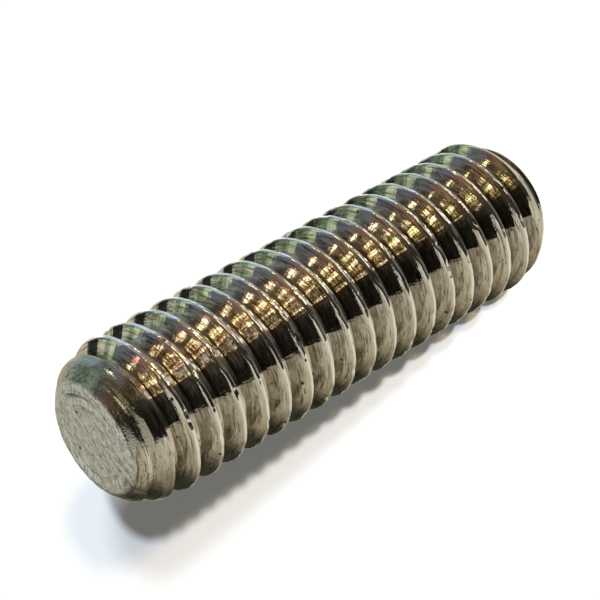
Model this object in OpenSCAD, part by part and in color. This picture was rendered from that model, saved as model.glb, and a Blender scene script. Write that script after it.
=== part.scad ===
// Hexagon-socket set screw (grub screw) with a flat point, M6 x 1 thread.
// It stands on its socket end: its axis is Z, the socket opens downwards at
// z = 0 and the flat point is at the top. All sizes are in millimetres.

/* [Body] */
// Overall length, from the socket end to the flat point
length = 19.6; // [12:0.1:60]
// Diameter over the thread's crests
thread_d = 5.86; // [4.8:0.01:8]

/* [Flat point] */
// Diameter of the point, measured at the foot of its rounded edge
point_d = 4.1; // [3:0.05:4.6]
// Slope of the point's chamfer, measured from the axis
point_slope = 45; // [30:5:60]
// Radius of the rounded edge round the flat
point_edge_r = 0.25; // [0.05:0.05:0.5]

/* [Socket end] */
// Diameter of the flat end face that the screw stands on
end_d = 4.8; // [4:0.05:5.6]
// Slope of the chamfer between the end face and the thread, measured from the axis
end_slope = 30; // [20:5:60]

/* [Hex socket] */
// Size across the flats of the hexagonal socket
key_size = 3.02; // [2:0.01:3.7]
// Depth of the socket's full hexagon
socket_depth = 3.6; // [2:0.1:8]
// How far the mouth's countersink reaches past the hexagon's corners
mouth_margin = 0.1; // [0.05:0.05:0.2]
// Full angle of the drill's cone at the bottom of the socket
drill_angle = 120; // [90:2:140]

/* [Hidden] */

thread_r = thread_d / 2;
point_r = point_d / 2;
end_r = end_d / 2;

// Heights that the slopes take up at the two ends
point_chamfer_h = (thread_r - point_r) / tan(point_slope);
end_chamfer_h = (thread_r - end_r) / tan(end_slope);

// Tangent arc that turns the point's chamfer into its flat: its centre, and
// how far below the flat the chamfer begins
edge_steps = 6;
edge_turn = 90 - point_slope;
edge_drop = point_edge_r * (1 - sin(point_slope));
edge_centre_r = point_r - point_edge_r * cos(point_slope);
edge_centre_z = length - point_edge_r;

// A hexagon's corners lie further out than its flats
hex_corner_d = key_size / cos(30);
mouth_d = hex_corner_d + 2 * mouth_margin;
hex_sides = 6;
round_steps = 96;

// Depth of a cone of a given diameter and full angle
function cone_depth(d, angle) = d / 2 / tan(angle / 2);
mouth_angle = 90;
cut_clearance = 0.5;

// Half of the section through the axis, from the end face to the flat
function point_edge_arc() = [
    for (i = [0 : edge_steps])
        let (a = point_slope + edge_turn * i / edge_steps)
        [edge_centre_r + point_edge_r * cos(a), edge_centre_z + point_edge_r * sin(a)]
];

function half_section() = concat(
    [
        [0, 0],
        [end_r, 0],
        [thread_r, end_chamfer_h],
        [thread_r, length - edge_drop - point_chamfer_h]
    ],
    point_edge_arc(),
    [[0, length]]
);

// Body turned from bar: the thread is the envelope over its crests
module turned_body() {
    rotate_extrude($fn = round_steps)
        polygon(half_section());
}

// Broached hexagon, with the drill's cone above it and a countersunk mouth
module hex_socket() {
    translate([0, 0, -cut_clearance])
        cylinder(d = hex_corner_d, h = socket_depth + cut_clearance, $fn = hex_sides);
    translate([0, 0, socket_depth])
        cylinder(d1 = key_size, d2 = 0, h = cone_depth(key_size, drill_angle), $fn = round_steps);
    mouth_h = cone_depth(mouth_d, mouth_angle);
    mouth_grow = (mouth_h + cut_clearance) / mouth_h;
    translate([0, 0, -cut_clearance])
        cylinder(d1 = mouth_d * mouth_grow, d2 = 0, h = mouth_h * mouth_grow, $fn = round_steps);
}

module set_screw() {
    color("silver")
        difference() {
            turned_body();
            hex_socket();
        }
}

set_screw();
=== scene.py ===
# %% [markdown]
# # A grub set screw
# A grub set screw is a length of threaded rod with no head. A hexagon socket in one end takes the key that
# turns it, and the other end, the point, presses on a shaft. This one is about 20 mm long and 6 mm across,
# with a 1 mm thread, a flat point and a bright nickel finish that has stained and dulled in use.
#
# The exact solid was made before, with a plain cylinder where the thread is. It is loaded here as a fixed
# frame, in metres, standing on its socket end with its axis on Z. The visible screw is built round that axis.

# %% Load the frame
import math

import bmesh
import bpy
from mathutils import Matrix, Vector


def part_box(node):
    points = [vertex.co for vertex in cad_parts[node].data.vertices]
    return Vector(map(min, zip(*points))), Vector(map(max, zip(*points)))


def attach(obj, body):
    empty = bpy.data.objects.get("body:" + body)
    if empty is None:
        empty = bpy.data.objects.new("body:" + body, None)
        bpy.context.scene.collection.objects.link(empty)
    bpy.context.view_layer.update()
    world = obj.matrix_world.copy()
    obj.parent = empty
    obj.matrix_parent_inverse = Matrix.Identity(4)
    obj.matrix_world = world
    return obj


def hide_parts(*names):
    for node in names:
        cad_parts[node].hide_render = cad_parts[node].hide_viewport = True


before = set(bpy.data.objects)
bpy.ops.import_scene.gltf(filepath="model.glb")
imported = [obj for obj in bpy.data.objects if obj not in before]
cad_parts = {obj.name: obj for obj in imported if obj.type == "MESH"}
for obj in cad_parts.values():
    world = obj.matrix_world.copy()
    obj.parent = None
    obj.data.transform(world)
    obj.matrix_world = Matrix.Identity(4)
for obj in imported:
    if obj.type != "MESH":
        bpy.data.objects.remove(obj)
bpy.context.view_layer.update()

MM = 0.001

# %% [markdown]
# ## Node maths as expressions
# A shape or a finish that follows a rule is mostly arithmetic, and arithmetic is easier to read as Python
# than as a web of Math nodes. `Term` wraps one output socket and turns `+ - * /` into Math nodes. `Tree`
# adds any other node from its type, its settings, and the values or links of its sockets. The same two
# classes serve the geometry, the finish and the room.

# %% A socket that takes part in expressions
class Term:
    """One output socket. Operators on it add Math nodes."""

    def __init__(self, tree, socket):
        self.tree = tree
        self.socket = socket

    def output(self, name):
        """Another output of the same node."""
        return Term(self.tree, self.socket.node.outputs[name])

    def __add__(self, other):
        return self.tree.math("ADD", self, other)

    def __radd__(self, other):
        return self.tree.math("ADD", other, self)

    def __sub__(self, other):
        return self.tree.math("SUBTRACT", self, other)

    def __rsub__(self, other):
        return self.tree.math("SUBTRACT", other, self)

    def __mul__(self, other):
        return self.tree.math("MULTIPLY", self, other)

    def __rmul__(self, other):
        return self.tree.math("MULTIPLY", other, self)

    def __truediv__(self, other):
        return self.tree.math("DIVIDE", self, other)

    def __rtruediv__(self, other):
        return self.tree.math("DIVIDE", other, self)


print("operators:", [name for name in vars(Term) if name.startswith("__r")])

# %% A tree that makes its own nodes
class Tree:
    """Adds nodes to one geometry or shader node tree."""

    def __init__(self, node_tree):
        self.node_tree = node_tree

    def node(self, kind, settings=None, inputs=None, output=0):
        """One node: its settings are set first, then its sockets, by name or number."""
        made = self.node_tree.nodes.new(kind)
        for name, value in (settings or {}).items():
            if name == "stops":
                self.set_stops(made.color_ramp, value)
            elif name == "straight_curve":
                self.set_curve(made.mapping, value, "VECTOR")
            elif name == "smooth_curve":
                self.set_curve(made.mapping, value, "AUTO")
            else:
                setattr(made, name, value)
        for key, value in (inputs or {}).items():
            if isinstance(value, Term):
                self.node_tree.links.new(value.socket, made.inputs[key])
            else:
                made.inputs[key].default_value = value
        return Term(self, made.outputs[output]) if made.outputs else None

    @staticmethod
    def set_stops(ramp, stops):
        """A colour ramp's stops, as (place, colour) from low to high."""
        while len(ramp.elements) < len(stops):
            ramp.elements.new(1.0)
        for element, (place, colour) in zip(ramp.elements, stops):
            element.position = place
            element.color = (*colour, 1.0)

    @staticmethod
    def set_curve(mapping, points, handle):
        """A float curve through (in, out) points, straight or smooth from each one to the next."""
        curve = mapping.curves[0]
        while len(curve.points) < len(points):
            curve.points.new(0.5, 0.5)
        for point, place in zip(curve.points, points):
            point.location = place
            point.handle_type = handle
        mapping.update()

    def math(self, operation, *values):
        """A Math node on numbers or terms."""
        return self.node("ShaderNodeMath", {"operation": operation}, dict(enumerate(values)))

    def vector_math(self, operation, *values, output=0):
        """A Vector Math node on vectors or terms."""
        return self.node("ShaderNodeVectorMath", {"operation": operation}, dict(enumerate(values)), output)

    def scaled(self, vector, factor):
        """A vector times a number."""
        return self.node("ShaderNodeVectorMath", {"operation": "SCALE"}, {0: vector, "Scale": factor})

    def vector(self, x, y, z=0.0):
        """A vector from its three parts."""
        return self.node("ShaderNodeCombineXYZ", inputs={0: x, 1: y, 2: z})

    def clamp(self, value, low=0.0, high=1.0):
        """value, kept between low and high."""
        return self.math("MAXIMUM", self.math("MINIMUM", value, high), low)

    def step(self, value, low, high):
        """0 below low, 1 above high and a smooth step between them."""
        settings = {"interpolation_type": "SMOOTHSTEP"}
        return self.node("ShaderNodeMapRange", settings, {"Value": value, "From Min": low, "From Max": high})

    def mix(self, factor, first, second):
        """The first colour where factor is 0, the second where it is 1."""
        # A Mix node has sockets for every kind of value. These are the ones for colours
        factor_in, first_in, second_in, colour_out = 0, 6, 7, 2
        inputs = {factor_in: factor, first_in: first, second_in: second}
        return self.node("ShaderNodeMix", {"data_type": "RGBA"}, inputs, colour_out)

    def ramp(self, value, stops):
        """A colour for each value from 0 to 1, from (place, colour) stops."""
        return self.node("ShaderNodeValToRGB", {"stops": stops}, {0: value})

    def noise(self, vector, scale, detail=2.0, roughness=0.5, fourth=None):
        """Noise from about 0 to 1 with scale swells a unit, and a fourth coordinate where one is given."""
        inputs = {"Vector": vector, "Scale": scale, "Detail": detail, "Roughness": roughness}
        if fourth is not None:
            inputs["W"] = fourth
        settings = {"noise_dimensions": "3D" if fourth is None else "4D"}
        return self.node("ShaderNodeTexNoise", settings, inputs, "Fac")


print("helpers:", [name for name in vars(Tree) if not name.startswith("_")])

# %% [markdown]
# ## The sizes
# The length and the diameter over the crests come from the frame, so the visible screw fills the space of
# the exact solid. The thread is the standard 60 degree form, whose depth, crest flat and root follow from
# the pitch alone. Near the point the crests are not fully formed, because the cut starts on a chamfer, so
# the point has an outline of its own. The socket takes a 3 mm key.

# %% Driving sizes
low_corner, high_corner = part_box("set_screw")
length = high_corner.z - low_corner.z
crest_radius = (high_corner.x - low_corner.x) / 2
pitch = 1.0 * MM
depth_in_pitches = 0.6134  # the standard depth of an outside thread
thread_depth = depth_in_pitches * pitch
thread_start = -0.047  # where the crest crosses the +X side, in pitches above the bottom
point_radius = 2.05 * MM
point_slope = math.radians(45)
point_edge_radius = 0.25 * MM
# The outline over the crests by the point: distance from its face and radius there, in mm
point_outline = [(0.07, 2.05), (0.33, 2.31), (0.58, 2.55), (0.8, 2.62), (1.45, 2.87), (2.1, 2.95), (3, 3)]
outline_span = 3 * MM
end_radius = 2.4 * MM
end_slope = math.radians(30)
end_edge_radius = 0.08 * MM
key_size = 3.02 * MM
mouth_margin = 0.1 * MM
mouth_radius = key_size / 2 / math.cos(math.radians(30)) + mouth_margin
socket_depth = 3.6 * MM
print(f"length {length / MM:.2f} mm, {2 * crest_radius / MM:.2f} mm over the crests")

# %% [markdown]
# ## The thread as a sheared grid
# A thread is one groove that winds round the rod. It could be cut with a boolean, or a profile could be
# swept along a helix, but both leave untidy ends. Here Geometry Nodes roll a flat grid up into a tube. The
# grid's rows are sheared so that they climb one pitch in a turn, which lays a row of vertices along every
# crest edge and keeps it crisp. A row that runs off the end of the thread carries on as part of the point's
# face, or of the socket, until it reaches the axis, so the tube closes itself.

# %% Rows and columns of the grid
segments = 144
rows_a_turn = 24
turns = 26
# How far from crest to root each row lies, closer together where the profile bends
row_stations = [0, 0.07, 0.1, 0.13, 0.165, 0.22, 0.34, 0.5, 0.66, 0.78, 0.86, 0.93, 1]
# How many pitches of rows each zone beyond the thread takes, counted outwards
point_zones = {"edge": 0.3, "face": 2.1}
socket_zones = {"edge": 0.25, "land": 0.25, "mouth": 0.4, "wall": 0.4, "floor": 0.8}
print(segments * rows_a_turn * turns * 2, "triangles before the two ends close")

# %% [markdown]
# ## Named inputs
# The tree's sizes are inputs with names, so the same tree can make another screw of the family from the
# modifier's panel. Wear fades every dent and nick in or out, and Wear seed gives another set of them.

# %% The tree and its inputs
shape_group = bpy.data.node_groups.new("screw_shape", "GeometryNodeTree")
shape_group.interface.new_socket("Geometry", in_out="OUTPUT", socket_type="NodeSocketGeometry")
shape_values = {
    "Length": length,
    "Crest radius": crest_radius,
    "Pitch": pitch,
    "Thread depth": thread_depth,
    "Crest flat": 0.12 * pitch,
    "Crest rounding": 0.055 * pitch,
    "Root rounding": 0.05 * pitch,
    "Point radius": point_radius,
    "End radius": end_radius,
    "Key size": key_size,
    "Mouth radius": mouth_radius,
    "Socket depth": socket_depth,
    "Wear": 1.0,
    "Wear seed": 0.0,
}


def group_input(name, kind, default=None):
    """Adds a named input to the tree and gives its identifier."""
    socket = shape_group.interface.new_socket(name, in_out="INPUT", socket_type=kind)
    if default is not None:
        socket.default_value = default
    return socket.identifier


shape_ids = {name: group_input(name, "NodeSocketFloat", value) for name, value in shape_values.items()}
metal_id = group_input("Metal", "NodeSocketMaterial")
tree = Tree(shape_group)
group_inputs = tree.node("NodeGroupInput")
size = {name: group_inputs.output(name) for name in shape_values}
print(len(shape_ids) + 1, "named inputs")

# %% [markdown]
# ## Where each vertex belongs
# The flat grid is one unit square. Its X says how far round the screw a vertex is, and its Y counts rows. A
# float curve spaces the rows between crest and root. `climb` is the vertex's height along the helix, in
# pitches, and it runs on past both ends of the thread.

# %% Turn and climb of each vertex
grid_size = {"Size X": 1, "Size Y": 1, "Vertices X": segments + 1, "Vertices Y": rows_a_turn * turns + 1}
grid = tree.node("GeometryNodeMeshGrid", inputs=grid_size)
grid_place = tree.node("ShaderNodeSeparateXYZ", inputs={0: tree.node("GeometryNodeInputPosition")})
around = grid_place + 0.5
row_turn = (grid_place.output("Y") + 0.5) * turns
nearest_crest = tree.math("ROUND", row_turn)
half_turn = row_turn - nearest_crest
station_curve = [(i / (len(row_stations) - 1), place) for i, place in enumerate(row_stations)]
station = tree.node(
    "ShaderNodeFloatCurve",
    {"straight_curve": station_curve},
    {"Factor": 1.0, "Value": tree.math("ABSOLUTE", half_turn) * 2},
)
first_turn = -math.ceil(sum(socket_zones.values())) - 1
sheared_row = nearest_crest + tree.math("SIGN", half_turn) * station * 0.5
climb = sheared_row + around + (first_turn + thread_start)
angle = around * math.tau
turn_cosine = tree.math("COSINE", angle)
turn_sine = tree.math("SINE", angle)
print("rows climb from turn", first_turn, "to turn", first_turn + turns)

# %% [markdown]
# ## The envelope
# The thread is cut into a blank: a bar turned down to a point at the top and chamfered at the bottom. Each
# end is a cone, a small rounded edge and a flat. The height and the radius of the blank at each vertex come
# from how far `climb` is through each of these zones.

# %% Zones and rounded edges
def zone(start, width):
    """How far a vertex is through a zone of rows, from 0 to 1. A zone of negative width lies below start."""
    return tree.clamp((climb - start) / width)


def edge_size(radius, slope):
    """The width and height that a rounded edge takes off the corner of a cone and a flat."""
    return radius * math.cos(slope), radius * (1 - math.sin(slope))


def edge_arc(progress, radius, slope):
    """The radius and height gained so far round a rounded edge, from the cone to the flat."""
    turned = progress * (math.pi / 2 - slope) + slope
    return tree.math("COSINE", turned) * radius, (tree.math("SINE", turned) - math.sin(slope)) * radius


print("edge of the point:", [round(v / MM, 3) for v in edge_size(point_edge_radius, point_slope)], "mm")

# %% The point's end of the blank
edge_width, edge_height = edge_size(point_edge_radius, point_slope)
thread_top = (size["Length"] - edge_height) / size["Pitch"]
top_edge = zone(thread_top, point_zones["edge"])
top_face = zone(thread_top + point_zones["edge"], point_zones["face"])
top_arc, top_rise = edge_arc(top_edge, point_edge_radius, point_slope)
top_trim = top_arc - edge_width
print("the point closes in", sum(point_zones.values()), "turns of rows")

# %% The socket's end of the blank
end_edge_width, end_edge_height = edge_size(end_edge_radius, end_slope)
thread_bottom = end_edge_height / pitch
end_edge = zone(thread_bottom, -socket_zones["edge"])
end_arc, end_drop = edge_arc(end_edge, end_edge_radius, end_slope)
end_rim_radius = size["End radius"] - end_edge_width + end_arc
print(f"the thread starts {end_edge_height / MM:.3f} mm above the bottom")

# %% The whole blank
body_height = tree.clamp(climb, thread_bottom, thread_top) * size["Pitch"]
outline_curve = [(down * MM / outline_span, radius * MM / outline_span) for down, radius in point_outline]
outline = tree.node(
    "ShaderNodeFloatCurve",
    {"smooth_curve": outline_curve},
    {"Factor": 1.0, "Value": (size["Length"] - body_height) / outline_span},
)
point_cone = outline * outline_span + (size["Point radius"] - point_radius) + top_trim
end_cone = (body_height - end_edge_height) * math.tan(end_slope) + end_rim_radius
blank = tree.math("MINIMUM", point_cone, end_cone)
print(len(shape_group.nodes), "nodes so far")

# %% [markdown]
# ## The thread's profile
# Across the thread the radius depends only on how far a place is from the nearest crest: flat on the crest,
# straight down a flank that leans 30 degrees, and flat in the root. Smooth minimum and maximum join the
# three with small fillets, as rolling leaves them. The crests are a little low in places, and nicked.

# %% Distance from the crest, and places for the wear
phase = body_height / size["Pitch"] - around - thread_start
from_crest = tree.math("ABSOLUTE", phase - tree.math("ROUND", phase)) * size["Pitch"]
flank_slope = math.radians(30)
flank = size["Crest radius"] + (size["Crest flat"] / 2 - from_crest) / math.tan(flank_slope)
seed_step = 0.05
seed_shift = tree.vector(size["Wear seed"] * seed_step, 0.0, 0.0)
crest_place = tree.vector(turn_cosine * size["Crest radius"], turn_sine * size["Crest radius"], body_height)
crest_place = tree.vector_math("ADD", crest_place, seed_shift)
print("flank slope", round(math.degrees(flank_slope)), "degrees")


# %% Crest, flank and root
def swells(vector, per_mm, detail=1.0):
    """Noise from about 0 to 1 with this many swells a millimetre."""
    return tree.noise(vector, per_mm / MM, detail)


low_crest_depth = 0.05 * MM
nick_depth = 0.06 * MM
low_crest = tree.step(swells(crest_place, 2.0, 3.0), 0.42, 0.75) * low_crest_depth
nick = tree.step(swells(crest_place, 4.0), 0.66, 0.8) * nick_depth
worn_crest = size["Crest radius"] - (low_crest + nick) * size["Wear"]
root_radius = size["Crest radius"] - size["Thread depth"]
blank_blend = 0.04 * MM
with_crest = tree.math("SMOOTH_MIN", worn_crest, flank, size["Crest rounding"])
with_root = tree.math("SMOOTH_MAX", with_crest, root_radius, size["Root rounding"])
outside = tree.math("SMOOTH_MIN", blank, with_root, blank_blend)
print(f"thread {thread_depth / MM:.3f} mm deep")

# %% [markdown]
# ## The socket
# Inside the bottom end, the rows go on as a flat land, a conical mouth, the hexagon's wall and a drilled
# cone. The hexagon's radius at each angle is half its key size over the cosine of the angle from the
# nearest flat. The mouth is the same hexagon, widened to a circle where that is larger.

# %% Zones of the socket
land_start = thread_bottom - socket_zones["edge"]
mouth_start = land_start - socket_zones["land"]
wall_start = mouth_start - socket_zones["mouth"]
floor_start = wall_start - socket_zones["wall"]
land = zone(land_start, -socket_zones["land"])
mouth = zone(mouth_start, -socket_zones["mouth"])
wall = zone(wall_start, -socket_zones["wall"])
socket_floor = zone(floor_start, -socket_zones["floor"])
past_all = 0.999
in_socket = tree.math("GREATER_THAN", land, past_all)
past_wall = tree.math("GREATER_THAN", wall, past_all)
print("the socket closes in", round(sum(socket_zones.values()), 2), "turns of rows")

# %% Hexagon, mouth and drilled cone
half_key = size["Key size"] / 2
sixth = math.tau / 6
from_flat = angle / sixth - tree.math("FLOOR", angle / sixth) - 0.5
hexagon = half_key / tree.math("COSINE", from_flat * sixth)
mouth_depth = size["Mouth radius"] - half_key
mouth_rise = mouth * mouth_depth
bore = tree.math("MAXIMUM", size["Mouth radius"] - mouth_rise, hexagon) * (1 - socket_floor)
drill_slope = math.radians(60)
drilled = (half_key - tree.math("MINIMUM", bore, half_key)) / math.tan(drill_slope) * past_wall
print(f"hexagon {key_size / MM:.2f} mm over its flats, {socket_depth / MM:.1f} mm deep")

# %% [markdown]
# ## Rolling the grid up
# Every vertex now has a radius, an angle and a height. Set Position rolls the grid into the tube. The two
# long sides of the grid meet along a seam, and each end gathers on the axis, so Merge by Distance welds
# both and leaves one closed skin.

# %% Roll up and weld
land_radius = size["End radius"] - end_edge_width
outer_radius = outside * (1 - top_face) - (land_radius - size["Mouth radius"]) * land
radius = outer_radius + in_socket * (bore - outer_radius)
socket_rise = mouth_rise + wall * (size["Socket depth"] - mouth_depth) + in_socket * drilled
height = body_height + top_rise - end_drop + socket_rise
rolled_place = tree.vector(radius * turn_cosine, radius * turn_sine, height)
rolled = tree.node("GeometryNodeSetPosition", inputs={"Geometry": grid, "Position": rolled_place})
weld_distance = 0.0001 * MM
closed = tree.node("GeometryNodeMergeByDistance", inputs={"Geometry": rolled, "Distance": weld_distance})
print(len(shape_group.nodes), "nodes so far")

# %% [markdown]
# ## Dents and tool marks
# Real wear changes the shape, not only the colour, so a little of it is pushed into the mesh along its
# normals. The flanks swell by about a hundredth of a millimetre. The point is hammered and grained, and its
# face keeps the rings that parting it from the bar left. Wear fades out just above the floor.

# %% Masks for the wear
here = tree.node("GeometryNodeInputPosition")
here_parts = tree.node("ShaderNodeSeparateXYZ", inputs={0: here})
here_y = here_parts.output("Y")
here_height = here_parts.output("Z")
here_radius = tree.math("SQRT", here_parts * here_parts + here_y * here_y)
from_face = size["Length"] - here_height
on_face = 1 - tree.step(from_face, 0.02 * MM, 0.3 * MM)
on_point = 1 - tree.step(from_face, 0.5 * MM, 1.1 * MM)
above_floor = tree.step(here_height, 0.3 * MM, 0.8 * MM)
wear_place = tree.vector_math("ADD", here, seed_shift)
print("masks: face, point, above the floor")


# %% Push the dents in
def dents(per_mm, height_mm, detail=1.0):
    """Dents and swells this high in all, with this many a millimetre."""
    return (swells(wear_place, per_mm, detail) - 0.5) * (height_mm * MM)


def ring(radius_mm, width_mm, height_mm):
    """A raised ring on the point's face, or a groove where the height is below 0."""
    away = tree.math("ABSOLUTE", here_radius - radius_mm * MM)
    return (1 - tree.step(away, 0, width_mm * MM)) * (height_mm * MM)


grain = dents(9.0, 0.012)
part_rings = tree.step(swells(wear_place, 0.9), 0.35, 0.6)
face_rings = (ring(1.74, 0.12, 0.056) + ring(1.5, 0.14, -0.048) + ring(1.3, 0.08, 0.019)) * part_rings
face_sink = 0.025 * MM
flank_dents = (dents(1.6, 0.012, 2.0) + dents(5.0, 0.003)) * above_floor
point_dents = (dents(3.2, 0.035, 3.0) + dents(1.1, 0.07, 2.0) + grain) * on_point
face_dents = (grain * 1.5 + face_rings - face_sink) * on_face
dent = (flank_dents + point_dents + face_dents) * size["Wear"]
dent_offset = tree.scaled(tree.node("GeometryNodeInputNormal"), dent)
dented = tree.node("GeometryNodeSetPosition", inputs={"Geometry": closed, "Offset": dent_offset})
print(len(shape_group.nodes), "nodes so far")

# %% [markdown]
# ## Finishing the tree
# Faces are shaded smooth, and edges sharper than 40 degrees stay crisp, which keeps the hexagon's corners.
# Realize Instances and Set Material end the tree, because the export keeps neither instances nor a material
# that is only on the modifier.

# %% Shading, material and output
crisp_angle = math.radians(40)
smooth_faces = {"Geometry": dented, "Shade Smooth": True}
smooth = tree.node("GeometryNodeSetShadeSmooth", {"domain": "FACE"}, smooth_faces)
compare = {"data_type": "FLOAT", "operation": "GREATER_THAN"}
edge_angle = tree.node("GeometryNodeInputMeshEdgeAngle")
is_crisp = tree.node("FunctionNodeCompare", compare, {0: edge_angle, 1: crisp_angle})
crisp_edges = {"Geometry": smooth, "Selection": is_crisp, "Shade Smooth": False}
creased = tree.node("GeometryNodeSetShadeSmooth", {"domain": "EDGE"}, crisp_edges)
real = tree.node("GeometryNodeRealizeInstances", inputs={"Geometry": creased})
plated = {"Geometry": real, "Material": group_inputs.output("Metal")}
finished = tree.node("GeometryNodeSetMaterial", inputs=plated)
tree.node("NodeGroupOutput", inputs={0: finished})
print(len(shape_group.nodes), "nodes in the shape")

# %% [markdown]
# ## The nickel finish
# Bright nickel plating is a metal mirror with a faint warm tint. What makes it real is what has happened to
# it: fine marks that run round the screw from rolling and from being driven, brown stain in the marks, dark
# dirt in the finest of them, a few pits, and a duller, rougher point. The whole finish reads Object
# coordinates in millimetres, so it stays on the metal when the screw moves.

# %% Coordinates on the metal
metal = bpy.data.materials.new("bright_nickel")
metal.use_nodes = True
metal.node_tree.nodes.clear()
shader = Tree(metal.node_tree)
in_mm = shader.scaled(shader.node("ShaderNodeTexCoord", output="Object"), 1 / MM)
metal_x = shader.node("ShaderNodeSeparateXYZ", inputs={0: in_mm})
metal_y = metal_x.output("Y")
metal_z = metal_x.output("Z")
metal_radius = shader.math("SQRT", metal_x * metal_x + metal_y * metal_y)
turn_x = metal_x / metal_radius
turn_y = metal_y / metal_radius
length_mm = length / MM
print(f"the finish runs from 0 to {length_mm:.1f} mm")

# %% Marks that run round the screw
# Noise that is close packed along the axis and the radius, and drawn out round the turn, looks rolled
def turned_marks(round_per_mm, across_per_mm, detail, roughness):
    """Streaks round the screw, with this many swells a millimetre along them and across them."""
    stretched = shader.vector(metal_x * round_per_mm, metal_y * round_per_mm, metal_z * across_per_mm)
    return shader.noise(stretched, 1.0, detail, roughness, metal_radius * across_per_mm)


marks = turned_marks(1.1, 9, 3.0, 0.6)
fine_marks = turned_marks(1.6, 15, 2.0, 0.5)
chatter = shader.noise(shader.vector(turn_x * 20, turn_y * 20, metal_z * 0.9), 1.0, 1.0)
print("marks: broad, fine, and chatter along the axis")

# %% Blotches, specks, scuffs and pits
facets = shader.noise(in_mm, 5.5, 2.0, 0.6)
blotches = shader.noise(in_mm, 1.3, 3.0, 0.6)
specks = shader.noise(in_mm, 11.0, 2.0, 0.6)
scuff_way = Vector((-0.975, 0.22))
along_scuffs = metal_x * scuff_way.x + metal_y * scuff_way.y
across_scuffs = metal_x * scuff_way.y - metal_y * scuff_way.x
scuffs = shader.noise(shader.vector(along_scuffs * 2.4, across_scuffs * 7.5), 1.0, 3.0, 0.6)
cells_per_mm = 1.7
cells = shader.node("ShaderNodeTexVoronoi", inputs={"Vector": in_mm, "Scale": cells_per_mm})
cell_pick = shader.node("ShaderNodeSeparateColor", inputs={0: cells.output("Color")})
pit_share = 0.28
pit = (1 - shader.step(cells, 0.07, 0.14)) * shader.math("GREATER_THAN", cell_pick, 1 - pit_share)
print(f"a pit in {pit_share:.0%} of the cells, each about {1 / cells_per_mm:.1f} mm across")

# %% Zones of the finish
cone_foot = length_mm - 1.0
root_mm, flank_top_mm = 2.38, 2.8
crest_low_mm, crest_full_mm = 2.82, 2.9
point_end = shader.step(metal_z, cone_foot, length_mm - 0.45)
face_only = shader.step(metal_z, length_mm - 0.12, length_mm - 0.06)
cone_zone = shader.step(metal_z, cone_foot, length_mm - 0.8) * (1 - face_only)
in_root = 1 - shader.step(metal_radius, root_mm, flank_top_mm)
on_crest = shader.step(metal_radius, crest_low_mm, crest_full_mm)
# Painted shade: the side of the cone that faces up from the bench is made darker and greener
shaded_side = Vector((0.723, -0.691))
painted_shade = shader.step(turn_x * shaded_side.x + turn_y * shaded_side.y, 0.0, 0.6) * cone_zone
print("zones: point, face, cone, root, crest and a tarnished side of the cone")

# %% [markdown]
# ## Colour of the metal
# The crests are rubbed bright, so stain gives way to clean nickel there. Towards the roots the metal is
# darker and browner. On the face of the point the plating is worn to a paler, mottled grey, and one side of
# its cone is darker and greener, which is painted shade.

# %% Layers of colour
nickel = (0.66, 0.64, 0.6, 1)
stained = (0.3, 0.25, 0.18, 1)
grime = (0.1, 0.08, 0.06, 1)
# The colour of the painted shade on one side of the cone
painted_shade_green = (0.23, 0.25, 0.22, 1)
worn_grey = (0.69, 0.75, 0.81, 1)
dull_grey = (0.25, 0.26, 0.24, 1)
streaks = shader.step(marks, 0.42, 0.6) * (0.5 + shader.step(blotches, 0.4, 0.7) * 0.5)
streaks = streaks * (1 - on_crest * 0.9) * (1 - cone_zone * 0.5)
dark_lines = shader.step(fine_marks, 0.56, 0.64) * (1 - on_crest) * 0.8
colour = shader.mix(streaks, nickel, stained)
colour = shader.mix(dark_lines, colour, grime)
# Darker and browner towards the roots of the thread
colour = shader.mix(in_root * 0.4 * (1 - point_end), colour, stained)
# Painted shade on the upward side of the cone
colour = shader.mix(painted_shade * 0.75, colour, painted_shade_green)
colour = shader.mix(face_only * 0.9, colour, worn_grey)
colour = shader.mix(face_only * shader.step(scuffs, 0.44, 0.62) * 0.65, colour, dull_grey)
colour = shader.mix(shader.step(specks, 0.56, 0.68) * point_end * 0.55, colour, grime)
colour = shader.mix(pit, colour, grime)
print("nine layers of colour")

# %% Roughness, bump and the shader
rough = 0.02 + marks * 0.05 + point_end * 0.15 + face_only * 0.15 + pit * 0.3
streak_relief = chatter * 0.6 + marks * 0.8 + fine_marks * 0.3
point_relief = point_end * (specks * 1.5 + facets * 1.2) + face_only * scuffs * 2.5
relief = facets * 0.4 + streak_relief + point_relief - pit * 2.0
relief_height = 0.006 * MM
bump = shader.node("ShaderNodeBump", {}, {"Strength": 1.0, "Distance": relief_height, "Height": relief})
surface = shader.node(
    "ShaderNodeBsdfPrincipled",
    inputs={"Base Color": colour, "Metallic": 1.0, "Roughness": rough, "Normal": bump},
)
shader.node("ShaderNodeOutputMaterial", inputs={"Surface": surface})
print(len(metal.node_tree.nodes), "nodes in the finish")

# %% [markdown]
# ## Making the piece
# The tree runs on an empty mesh. Its inputs are set by their identifiers before it is first evaluated. The
# evaluated result is copied to a plain mesh at the origin, and the holder goes away with its modifier.

# %% From the tree to a plain mesh
holder = bpy.data.objects.new("screw_holder", bpy.data.meshes.new("screw_holder"))
bpy.context.scene.collection.objects.link(holder)
modifier = holder.modifiers.new("shape", "NODES")
modifier.node_group = shape_group
for name, value in shape_values.items():
    modifier[shape_ids[name]] = value
modifier[metal_id] = metal
bpy.context.view_layer.update()
evaluated = holder.evaluated_get(bpy.context.evaluated_depsgraph_get())
screw_mesh = bpy.data.meshes.new_from_object(evaluated)
screw = bpy.data.objects.new("threaded_body", screw_mesh)
bpy.context.scene.collection.objects.link(screw)
bpy.data.objects.remove(holder)
print(screw.name, "has", len(screw_mesh.vertices), "vertices")

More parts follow.
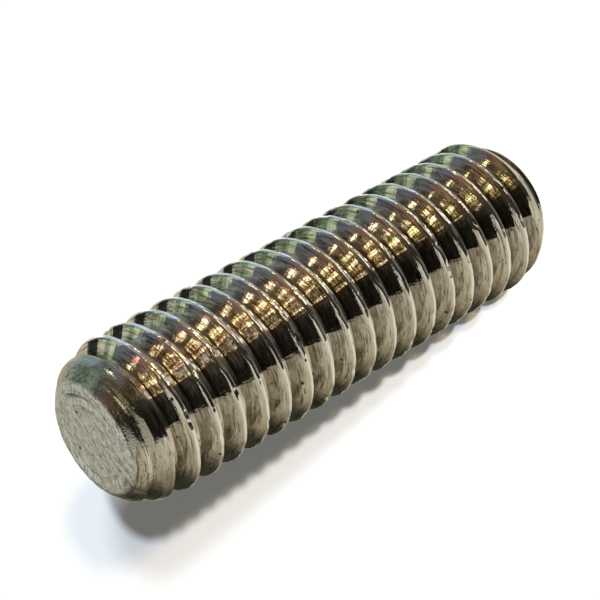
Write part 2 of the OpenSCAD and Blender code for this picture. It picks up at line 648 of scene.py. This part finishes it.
# %% Measure the skin
check = bmesh.new()
check.from_mesh(screw_mesh)
open_edges = sum(1 for edge in check.edges if len(edge.link_faces) != 2)
triangles = sum(len(face.verts) - 2 for face in check.faces)
print(triangles, "triangles,", open_edges, "open edges,", round(check.calc_volume() / MM**3, 1), "mm3 inside")
check.free()

# %% [markdown]
# ## The floor
# The screw stands on a plain pale floor. The floor takes shadows but isn't mirrored in the metal, because
# the metal has a room of its own to mirror, which the next steps make.

# %% Floor
floor_half = 1.0
floor_grey = (0.9, 0.9, 0.9, 1)
floor_roughness = 0.9
floor_corners = [(-floor_half, -floor_half, 0), (floor_half, -floor_half, 0)]
floor_corners += [(floor_half, floor_half, 0), (-floor_half, floor_half, 0)]
floor_mesh = bpy.data.meshes.new("floor")
floor_mesh.from_pydata(floor_corners, [], [(0, 1, 2, 3)])
floor = bpy.data.objects.new("floor", floor_mesh)
bpy.context.scene.collection.objects.link(floor)
floor.visible_glossy = False
floor_paint = bpy.data.materials.new("pale_floor")
floor_paint.use_nodes = True
floor_shader = floor_paint.node_tree.nodes["Principled BSDF"]
floor_shader.inputs["Base Color"].default_value = floor_grey
floor_shader.inputs["Roughness"].default_value = floor_roughness
floor_mesh.materials.append(floor_paint)
print("floor", 2 * floor_half, "m across")

# %% [markdown]
# ## The room that the metal mirrors
# Polished metal has hardly any colour of its own: it shows the room. Here the room is painted on the World
# by direction. It is laid out as if the screw lay on a bench, so the bench's up is at right angles to the
# screw's axis. Below the horizon is the pale bench. Above it are dim walls, with leaves and a pale window
# on one side, and higher still a ceiling with rows of warm lamps. Real lamps and cards in the scene could do
# the same, but each would also light the floor, and there are dozens of them.

# %% Directions round the bench
bench_up = Vector((0.723, -0.691, 0.0)).normalized()
bench_along = Vector((0.0, 0.0, 1.0))
bench_across = bench_up.cross(bench_along)
world = bpy.data.worlds.new("workshop")
bpy.context.scene.world = world
world.use_nodes = True
world.cycles.sampling_method = "NONE"
world.node_tree.nodes.clear()
sky = Tree(world.node_tree)
towards = sky.node("ShaderNodeTexCoord", output="Generated")


def bench_direction(bearing_degrees, elevation_degrees):
    """A direction from its bearing round the bench, from the way the point faces, and its height above it."""
    turned, raised = math.radians(bearing_degrees), math.radians(elevation_degrees)
    level = bench_across * math.sin(turned) + bench_along * math.cos(turned)
    return bench_up * math.sin(raised) + level * math.cos(raised)


def part_along(direction):
    """How much of the direction looked in lies along this one, from -1 to 1."""
    return sky.vector_math("DOT_PRODUCT", towards, tuple(direction), output="Value")


def patch(bearing_degrees, elevation_degrees, outer_degrees, inner_degrees):
    """1 within the inner angle of a direction, 0 outside the outer angle."""
    facing = part_along(bench_direction(bearing_degrees, elevation_degrees))
    return sky.step(facing, math.cos(math.radians(outer_degrees)), math.cos(math.radians(inner_degrees)))


to_degrees = 180 / math.pi
elevation = sky.math("ARCSINE", part_along(bench_up)) * to_degrees
bearing = sky.math("ARCTAN2", part_along(bench_across), part_along(bench_along)) * to_degrees
print("across the bench:", tuple(round(v, 3) for v in bench_across))

# %% [markdown]
# ### Walls
# The walls change colour with their bearing. The low ones reach up to about 34 degrees, and the upper ones,
# from about 50, lie behind most of the lamps.

# %% Walls, by bearing in degrees
low_walls = [
    (-180, (0.3, 0.3, 0.28)),
    (-140, (0.5, 0.6, 0.7)),
    (-126, (0.75, 0.95, 1.15)),
    (-112, (0.6, 0.7, 0.72)),
    (-85, (0.6, 0.72, 0.76)),
    (-72, (0.42, 0.54, 0.52)),
    (-66, (0.06, 0.1, 0.07)),
    (-60, (0.3, 0.42, 0.28)),
    (-53, (0.68, 0.88, 0.6)),
    (-45, (0.85, 1.0, 0.7)),
    (-42, (0.16, 0.19, 0.23)),
    (-30, (0.18, 0.18, 0.2)),
    (-20, (0.26, 0.15, 0.11)),
    (-8, (0.3, 0.19, 0.1)),
    (2, (0.14, 0.1, 0.05)),
    (12, (0.05, 0.045, 0.035)),
    (100, (0.02, 0.018, 0.015)),
    (122, (0.04, 0.038, 0.035)),
    (128, (0.14, 0.14, 0.13)),
    (180, (0.3, 0.3, 0.28)),
]
upper_walls = [
    (-180, (0.3, 0.2, 0.13)),
    (-150, (0.32, 0.24, 0.17)),
    (-130, (0.4, 0.3, 0.22)),
    (-118, (0.3, 0.28, 0.26)),
    (-100, (0.26, 0.27, 0.29)),
    (-60, (0.3, 0.36, 0.38)),
    (0, (0.12, 0.1, 0.08)),
    (100, (0.05, 0.04, 0.03)),
    (116, (0.09, 0.07, 0.05)),
    (128, (0.2, 0.13, 0.08)),
    (145, (0.28, 0.19, 0.11)),
    (180, (0.3, 0.2, 0.13)),
]


def by_bearing(stops):
    """Colours round the room, from (bearing, colour)."""
    places = [((stop_bearing + 180) / 360, stop_colour) for stop_bearing, stop_colour in stops]
    return sky.ramp(bearing / 360 + 0.5, places)


print(len(low_walls), "colours on the low walls,", len(upper_walls), "on the upper walls")

# %% [markdown]
# ### Leaves and clutter
# Noise that is drawn out upwards breaks one green wall into leaves. Finer noise strews small coloured
# things under the ceiling, so that the metal between the lamps isn't plain.

# %% Leaves on one wall, clutter under the ceiling
leaf_dark = (0.03, 0.045, 0.035, 1)
leaves = sky.noise(sky.vector(bearing * 0.28, elevation * 0.05), 1.0)
leafy = sky.step(bearing, -69, -66) * (1 - sky.step(bearing, -56, -42))
low = sky.mix(leafy * sky.step(leaves, 0.47, 0.55) * 0.82, by_bearing(low_walls), leaf_dark)
clutter_colours = [(0.3, (0.35, 0.42, 0.12)), (0.46, (0.8, 0.6, 0.3))]
clutter_colours += [(0.56, (0.7, 0.35, 0.2)), (0.68, (0.9, 0.8, 0.6))]
clutter_hue = sky.ramp(sky.noise(towards, 9.0, 1.0), clutter_colours)
clutter = sky.step(sky.noise(towards, 17.0), 0.5, 0.64) * sky.step(elevation, 50, 57) * 0.7
upper = sky.mix(clutter, by_bearing(upper_walls), clutter_hue)
walls = sky.mix(sky.step(elevation, 34, 50), low, upper)
print(len(world.node_tree.nodes), "nodes so far")

# %% [markdown]
# ### The bench
# Metal that faces down mirrors the bench: brown straight below, pale towards the horizon, with one end in
# the light and the screw's own shadow on the other side.

# %% The bench below the horizon
bench_colours = [
    (0.0, (0.24, 0.2, 0.13)),
    (0.3, (0.36, 0.31, 0.21)),
    (0.5, (0.62, 0.56, 0.41)),
    (0.7, (0.7, 0.63, 0.47)),
    (1.0, (0.85, 0.83, 0.7)),
]
lit_bench = (1.0, 0.97, 0.84, 1)
bench_shadow = (0.05, 0.05, 0.035, 1)
bench = sky.ramp(elevation / 90 + 1, bench_colours)
bench = sky.mix(patch(135, -22, 48, 10), bench, lit_bench)
bench = sky.mix(patch(-80, -70, 34, 8), bench, bench_shadow)
room = sky.mix(sky.step(elevation, -1.5, 1.5), bench, walls)
print("bench, its lit end and the shadow under the screw")

# %% [markdown]
# ### Panels and lamps
# Each one is a round patch with a soft edge. The panels are wide and dim: windows, and one dark gap. The
# lamps are small and far brighter than white, and each has a glow round it of a deeper colour.

# %% Wide soft panels: bearing, elevation, radius in degrees, strength, colour
panels = [
    (-67, -6, 9, 1.0, (0.03, 0.04, 0.035)),
    (148, 49, 7, 1.8, (1.0, 0.97, 0.9)),
    (161, 51, 6, 1.5, (1.0, 0.98, 0.93)),
    (172, 51, 6, 1.4, (1.0, 0.97, 0.9)),
    (-176, 51, 6, 1.4, (1.0, 0.95, 0.8)),
    (-163, 49, 6, 1.8, (1.0, 0.9, 0.62)),
    (-130, 30, 9, 1.3, (0.7, 0.92, 1.15)),
    (-122, -12, 10, 1.6, (0.95, 1.0, 1.05)),
]


def shine(colour, strength):
    """A colour at this strength."""
    return (*(strength * part for part in colour), 1)


soft_edge = 0.7
for panel_bearing, panel_elevation, panel_radius, strength, panel_colour in panels:
    lit = patch(panel_bearing, panel_elevation, panel_radius, panel_radius * soft_edge)
    room = sky.mix(lit, room, shine(panel_colour, strength))
print(len(panels), "panels")

# %% Small warm lamps: the same five values
lamps = [
    (116, 52, 1.3, 4, (1.0, 0.8, 0.5)),
    (122, 50.5, 1.2, 5, (1.0, 0.9, 0.7)),
    (128, 49.5, 1.4, 8, (1.0, 0.92, 0.75)),
    (133, 48.5, 1.2, 5, (1.0, 0.75, 0.45)),
    (125, 58, 1.3, 6.8, (0.8, 0.85, 0.3)),
    (133, 60, 1.2, 9, (1.0, 0.6, 0.3)),
    (131, 66.5, 2.0, 13.5, (1.0, 0.95, 0.5)),
    (139, 66.5, 2.0, 13.5, (1.0, 0.85, 0.6)),
    (145, 65, 2.1, 13.5, (1.0, 0.95, 0.75)),
    (150, 62.5, 1.5, 9, (1.0, 0.9, 0.7)),
    (155, 61, 1.2, 8, (1.0, 0.55, 0.3)),
    (147, 69, 1.5, 11.2, (0.75, 0.85, 0.3)),
    (166, 66, 1.2, 9, (1.0, 0.6, 0.35)),
    (172, 70, 2.1, 13.5, (1.0, 0.85, 0.5)),
    (180, 71.5, 2.4, 13.5, (1.0, 0.92, 0.7)),
    (-173, 70, 2.4, 13.5, (1.0, 0.95, 0.65)),
    (-167, 66.5, 1.3, 11.2, (0.8, 0.9, 0.35)),
    (-160, 68, 1.3, 9, (1.0, 0.6, 0.4)),
    (-136, 63, 1.3, 11.2, (1.0, 0.65, 0.35)),
    (-128, 62, 2.2, 13.5, (1.0, 0.95, 0.7)),
    (-121, 62, 2.7, 13.5, (1.0, 0.95, 0.8)),
    (-114, 64, 3.3, 13.5, (1.0, 0.97, 0.85)),
    (-107, 66, 2.0, 13.5, (0.9, 0.95, 0.5)),
    (-116, 58, 1.3, 11.2, (1.0, 0.6, 0.35)),
    (-10, 13, 1.8, 4.5, (1.0, 0.75, 0.45)),
    (-6, 8, 1.5, 4.5, (1.0, 0.85, 0.6)),
    (-24, 10, 1.5, 3, (1.0, 0.6, 0.5)),
]
glow_width = 2.2
glow_share = 0.8
for lamp_bearing, lamp_elevation, lamp_radius, strength, lamp_colour in lamps:
    glow = patch(lamp_bearing, lamp_elevation, lamp_radius * glow_width, lamp_radius)
    deeper_colour = [part**2 for part in lamp_colour]
    room = sky.mix(glow * glow_share, room, shine(deeper_colour, 1.0))
    lit = patch(lamp_bearing, lamp_elevation, lamp_radius, lamp_radius * soft_edge)
    room = sky.mix(lit, room, shine(lamp_colour, strength))
print(len(lamps), "lamps, each with a glow of its own colour")

# %% [markdown]
# ### What each kind of ray sees
# The room is for reflections alone. The floor gets a dim, even fill, and behind the floor all is white.

# %% Kinds of ray
path = sky.node("ShaderNodeLightPath")
fill = (0.17, 0.172, 0.16, 1)
white = (1, 1, 1, 1)
seen = sky.mix(path.output("Is Glossy Ray"), fill, room)
seen = sky.mix(path.output("Is Camera Ray"), seen, white)
background = sky.node("ShaderNodeBackground", inputs={"Color": seen, "Strength": 1.0})
sky.node("ShaderNodeOutputWorld", inputs={"Surface": background})
print(len(world.node_tree.nodes), "nodes in the room")

# %% [markdown]
# ## The key lights
# Three distant lamps from nearly one direction light the floor. The first gives the dark shadow and its
# scalloped edge, the second a pale one beside it, and the third, warmer and lower, reaches past the point,
# so that what light is left there looks cool. None of them is mirrored in the metal.

# %% Key lights
def key_light(name, azimuth, elevation, energy, width, colour):
    """A distant lamp that shines from this azimuth, from -Y towards +X, and elevation, in degrees."""
    data = bpy.data.lights.new(name, "SUN")
    data.energy = energy
    data.color = colour
    data.angle = math.radians(width)
    lamp = bpy.data.objects.new(name, data)
    bpy.context.scene.collection.objects.link(lamp)
    turned, raised = math.radians(azimuth), math.radians(elevation)
    level = Vector((math.sin(turned), -math.cos(turned), 0))
    source = level * math.cos(raised) + Vector((0, 0, math.sin(raised)))
    lamp.rotation_euler = source.to_track_quat("Z", "Y").to_euler()
    lamp.visible_glossy = False
    return lamp


daylight = (0.82, 0.91, 1.0)
lamplight = (1.0, 0.72, 0.42)
keys = [
    key_light("key", 6.0, 25.4, 4.2, 0.9, daylight),
    key_light("second_key", 8.8, 24.2, 2.5, 2.2, daylight),
    key_light("warm_key", 6.0, 21.8, 2.5, 1.8, lamplight),
]
print([key.name for key in keys])

# %% [markdown]
# ## The camera
# The camera looks down at the screw with a long lens, and it is rolled by two thirds of a half turn, so
# that the standing screw crosses the picture on a slant with its point nearest. Azimuth, elevation and roll
# place it round an aim point near the middle of the screw.

# %% Camera
aim = Vector((0.61855, 0.05633, 9.89559)) * MM
camera_distance = 63.37667 * MM
camera_azimuth = math.radians(-0.67163)
camera_elevation = math.radians(33.63072)
camera_roll = math.radians(-119.66143)
level_back = Vector((math.sin(camera_azimuth), -math.cos(camera_azimuth), 0))
back = level_back * math.cos(camera_elevation) + Vector((0, 0, math.sin(camera_elevation)))
level_right = Vector((math.cos(camera_azimuth), math.sin(camera_azimuth), 0))
right = Matrix.Rotation(camera_roll, 3, back) @ level_right
camera_turn = Matrix((right, back.cross(right), back)).transposed()
camera_data = bpy.data.cameras.new("camera")
sensor_mm, lens_mm = 36, 108.3
camera_data.sensor_width = sensor_mm
camera_data.lens = lens_mm
camera_data.clip_start = 0.001
camera = bpy.data.objects.new("camera", camera_data)
bpy.context.scene.collection.objects.link(camera)
camera.matrix_world = Matrix.Translation(aim + back * camera_distance) @ camera_turn.to_4x4()
bpy.context.scene.camera = camera
bpy.context.scene.view_settings.view_transform = "Standard"
print("camera at", tuple(round(v / MM, 2) for v in camera.matrix_world.translation), "mm")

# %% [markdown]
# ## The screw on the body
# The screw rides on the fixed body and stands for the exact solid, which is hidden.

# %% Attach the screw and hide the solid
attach(screw, "root")
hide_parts("set_screw")
